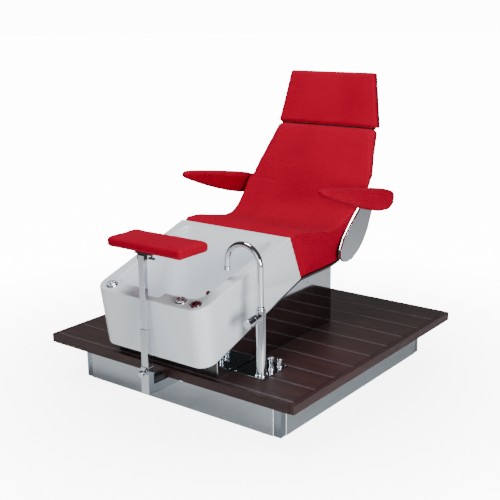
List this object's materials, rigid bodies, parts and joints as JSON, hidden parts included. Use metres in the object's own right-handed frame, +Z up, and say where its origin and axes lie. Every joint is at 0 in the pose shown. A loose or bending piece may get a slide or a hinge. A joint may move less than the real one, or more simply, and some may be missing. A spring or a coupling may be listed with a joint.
{
  "type": "pedicure spa chair",
  "caption": "Reclined lounge seat joined to a sloping foot basin with a gooseneck tap and a post-mounted leg pad, on a wooden platform over a steel plinth.",
  "frame": {"origin": "on the floor, under the centre of the object's bounding box", "axes": "+Z up, the sitter faces -Y, +X to the right of someone who stands in front and looks at the chair"},
  "size_m": [1.3, 1.4231, 1.293],
  "materials": {
    "wenge": "dark satin wenge veneer, grain along X, with bright grip strips in its grooves",
    "wenge_edge": "dark satin wenge, solid edge board",
    "plinth_steel": "satin stainless sheet",
    "mirror_steel": "mirror-polished stainless steel",
    "frame_steel": "dark powder-coated steel frame",
    "zinc_steel": "plain zinc-plated steel",
    "basin_white": "white satin-gloss sanitary acrylic",
    "chrome": "polished chrome plate",
    "red_lens": "dark red translucent lens",
    "black_plastic": "matt black plastic",
    "grey_plastic": "grey plastic",
    "black_shell": "black satin painted shell",
    "red_fabric": "red woven upholstery over foam",
    "hose": "braided flexible hose"
  },
  "bodies": {
    "platform": {"deck_panel": "wenge", "deck_edge_left": "wenge_edge", "deck_edge_right": "wenge_edge", "plinth_front": "plinth_steel", "plinth_rear": "plinth_steel", "plinth_left": "plinth_steel", "plinth_right": "plinth_steel", "pedestal_left": "mirror_steel", "pedestal_right": "mirror_steel", "pedestal_rear": "mirror_steel", "tap_plate": "mirror_steel", "armrest_bracket_left": "mirror_steel", "armrest_bracket_right": "mirror_steel", "chassis_frame": "frame_steel", "seat_support_frame": "frame_steel", "levelling_foot_front_left": "zinc_steel", "levelling_foot_front_right": "zinc_steel", "levelling_foot_rear_left": "zinc_steel", "levelling_foot_rear_right": "zinc_steel", "headrest_hinge_left": "zinc_steel", "headrest_hinge_right": "zinc_steel", "basin": "basin_white", "overflow_cover": "chrome", "drain_collar": "chrome", "tap_body": "chrome", "valve_cold": "chrome", "valve_hot": "chrome", "drain_pipe": "grey_plastic", "control_box": "grey_plastic", "air_blower": "black_plastic", "pedestal_front": "black_shell", "seat_shell": "black_shell", "seat_cushion": "red_fabric", "hose_cold": "hose", "hose_hot": "hose"},
    "legrest_slide": {"legrest_arm": "mirror_steel", "legrest_stop": "black_plastic", "legrest_outer_tube": "mirror_steel"},
    "clamp_knob": {"clamp_knob": "chrome"},
    "legrest_middle": {"legrest_middle_tube": "mirror_steel"},
    "legrest_upper": {"legrest_upper_tube": "chrome"},
    "legrest_pad": {"legrest_pad": "red_fabric", "legrest_pad_plate": "black_plastic"},
    "tilt_handle": {"tilt_handle": "black_plastic"},
    "spout": {"spout": "chrome", "aerator": "chrome"},
    "mixer_handle": {"mixer_handle": "chrome"},
    "valve_knob_cold": {"valve_knob_cold": "chrome"},
    "valve_knob_hot": {"valve_knob_hot": "chrome"},
    "armrest_left": {"armrest_pad_left": "red_fabric", "armrest_hub_left": "chrome"},
    "armrest_right": {"armrest_pad_right": "red_fabric", "armrest_hub_right": "chrome"},
    "headrest": {"headrest_cushion": "red_fabric", "headrest_shell": "black_shell", "headrest_knuckle": "zinc_steel"},
    "drain_knob": {"drain_knob": "chrome"},
    "air_knob": {"air_knob": "chrome"},
    "lit_button": {"lit_button": "red_lens"},
    "drain_plug": {"drain_plug": "chrome"}
  },
  "joints": [
    {"name": "legrest_extension", "type": "slide", "parent": "platform", "child": "legrest_slide", "axis": [0, -1, 0], "range_m": [0, 0.1]},
    {"name": "post_clamp_turn", "type": "hinge", "parent": "legrest_slide", "child": "clamp_knob", "pos_m": [0.018, -0.6815, 0.214], "axis": [0, -1, 0], "range_deg": [-180, 180]},
    {"name": "post_height_lower", "type": "slide", "parent": "legrest_slide", "child": "legrest_middle", "axis": [0, 0, 1], "range_m": [-0.06, 0.02]},
    {"name": "post_height_upper", "type": "slide", "parent": "legrest_middle", "child": "legrest_upper", "axis": [0, 0, 1], "range_m": [-0.085, 0.03]},
    {"name": "pad_tilt", "type": "hinge", "parent": "legrest_upper", "child": "legrest_pad", "pos_m": [0.018, -0.6665, 0.681], "axis": [1, 0, 0], "range_deg": [0, 35]},
    {"name": "tilt_handle_turn", "type": "hinge", "parent": "legrest_pad", "child": "tilt_handle", "pos_m": [0.056, -0.6545, 0.694], "axis": [0, 0, -1], "range_deg": [-180, 180]},
    {"name": "spout_swivel", "type": "hinge", "parent": "platform", "child": "spout", "pos_m": [0.392, -0.42, 0.478], "axis": [0, 0, 1], "range_deg": [-28, 90]},
    {"name": "mixer_turn", "type": "hinge", "parent": "platform", "child": "mixer_handle", "pos_m": [0.392, -0.44167, 0.44918], "axis": [0, -0.9848, -0.1736], "range_deg": [-50, 50]},
    {"name": "valve_cold_turn", "type": "hinge", "parent": "platform", "child": "valve_knob_cold", "pos_m": [0.392, -0.354, 0.25], "axis": [0, 0, 1], "range_deg": [0, 270]},
    {"name": "valve_hot_turn", "type": "hinge", "parent": "platform", "child": "valve_knob_hot", "pos_m": [0.4, -0.308, 0.23], "axis": [0, 0, 1], "range_deg": [0, 270]},
    {"name": "armrest_left_lift", "type": "hinge", "parent": "platform", "child": "armrest_left", "pos_m": [-0.356, 0.513, 0.722], "axis": [-1, 0, 0], "range_deg": [0, 85]},
    {"name": "armrest_right_lift", "type": "hinge", "parent": "platform", "child": "armrest_right", "pos_m": [0.356, 0.513, 0.722], "axis": [-1, 0, 0], "range_deg": [0, 85]},
    {"name": "headrest_tilt", "type": "hinge", "parent": "platform", "child": "headrest", "pos_m": [0, 0.68194, 1.04685], "axis": [-1, 0, 0], "range_deg": [0, 23]},
    {"name": "drain_knob_turn", "type": "hinge", "parent": "platform", "child": "drain_knob", "pos_m": [-0.213, -0.609, 0.51459], "axis": [0, -0.2917, 0.9565], "range_deg": [0, 90]},
    {"name": "drain_plug_lift", "type": "slide", "parent": "platform", "child": "drain_plug", "axis": [0, 0, 1], "range_m": [0, 0.008]},
    {"name": "air_knob_turn", "type": "hinge", "parent": "platform", "child": "air_knob", "pos_m": [0.155, -0.609, 0.51459], "axis": [0, -0.2917, 0.9565], "range_deg": [0, 270]},
    {"name": "lit_button_press", "type": "slide", "parent": "platform", "child": "lit_button", "axis": [0, 0.2917, -0.9565], "range_m": [0, 0.003], "stiffness_N_per_m": 400, "springref_m": -0.003}
  ],
  "couplings": [
    {"joint": "drain_plug_lift", "follows": "drain_knob_turn", "m_per_rad": 0.005}
  ]
}
